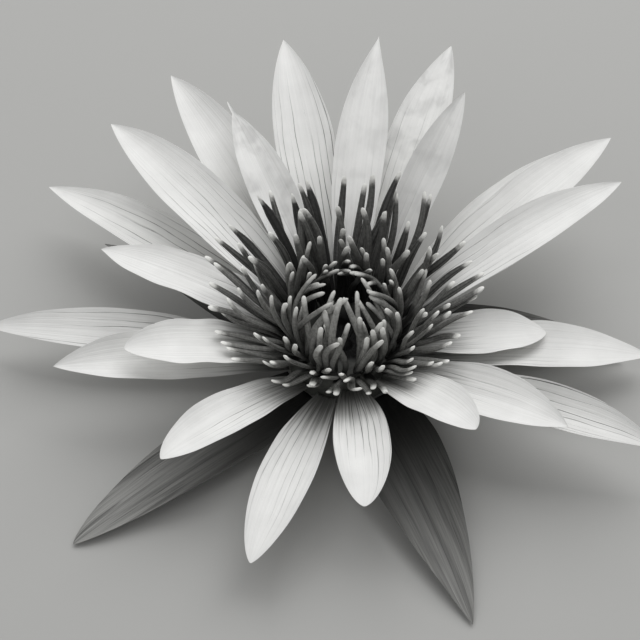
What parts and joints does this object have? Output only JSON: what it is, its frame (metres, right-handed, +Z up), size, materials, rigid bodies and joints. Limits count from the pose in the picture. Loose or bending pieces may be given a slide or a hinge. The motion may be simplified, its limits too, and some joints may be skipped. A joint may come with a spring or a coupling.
{
  "type": "water lily flower",
  "caption": "Open water lily blossom, picked just under the head: pointed petals and broad dark sepals round a crown of stamens, resting on its flat stalk scar.",
  "frame": {"origin": "centre of the flat round scar where the stalk was cut, on the surface that the flower rests on", "axes": "+Z up along the flower's axis, out of the stamens; +Y away from the viewer of the picture; +X to that viewer's right"},
  "size_m": [0.1615, 0.1588, 0.0408],
  "materials": {
    "petal": "fresh petal tissue, soft waxy satin, white, with fine darker veins along its length",
    "sepal": "leathery plant tissue, satin, dark grey, streaked along its length",
    "stamen": "matt plant tissue, mid grey with pale rounded tips",
    "receptacle": "matt plant tissue, dark grey"
  },
  "bodies": {
    "root": {"receptacle": "receptacle", "petal_01": "petal", "petal_02": "petal", "petal_03": "petal", "petal_04": "petal", "petal_05": "petal", "petal_06": "petal", "petal_07": "petal", "petal_08": "petal", "petal_09": "petal", "petal_10": "petal", "petal_11": "petal", "petal_12": "petal", "petal_13": "petal", "petal_14": "petal", "petal_15": "petal", "petal_16": "petal", "petal_17": "petal", "petal_18": "petal", "petal_19": "petal", "petal_20": "petal", "petal_21": "petal", "petal_22": "petal", "petal_23": "petal", "sepal_1": "sepal", "sepal_2": "sepal", "sepal_3": "sepal", "sepal_4": "sepal", "sepal_5": "sepal", "outer_stamens_01": "stamen", "outer_stamens_02": "stamen", "outer_stamens_03": "stamen", "outer_stamens_04": "stamen", "outer_stamens_05": "stamen", "outer_stamens_06": "stamen", "outer_stamens_07": "stamen", "outer_stamens_08": "stamen", "outer_stamens_09": "stamen", "outer_stamens_10": "stamen", "middle_stamens_01": "stamen", "middle_stamens_02": "stamen", "middle_stamens_03": "stamen", "middle_stamens_04": "stamen", "middle_stamens_05": "stamen", "middle_stamens_06": "stamen", "middle_stamens_07": "stamen", "middle_stamens_08": "stamen", "middle_stamens_09": "stamen", "middle_stamens_10": "stamen", "inner_stamens_01": "stamen", "inner_stamens_02": "stamen", "inner_stamens_03": "stamen", "inner_stamens_04": "stamen", "inner_stamens_05": "stamen", "inner_stamens_06": "stamen", "inner_stamens_07": "stamen"}
  },
  "joints": []
}
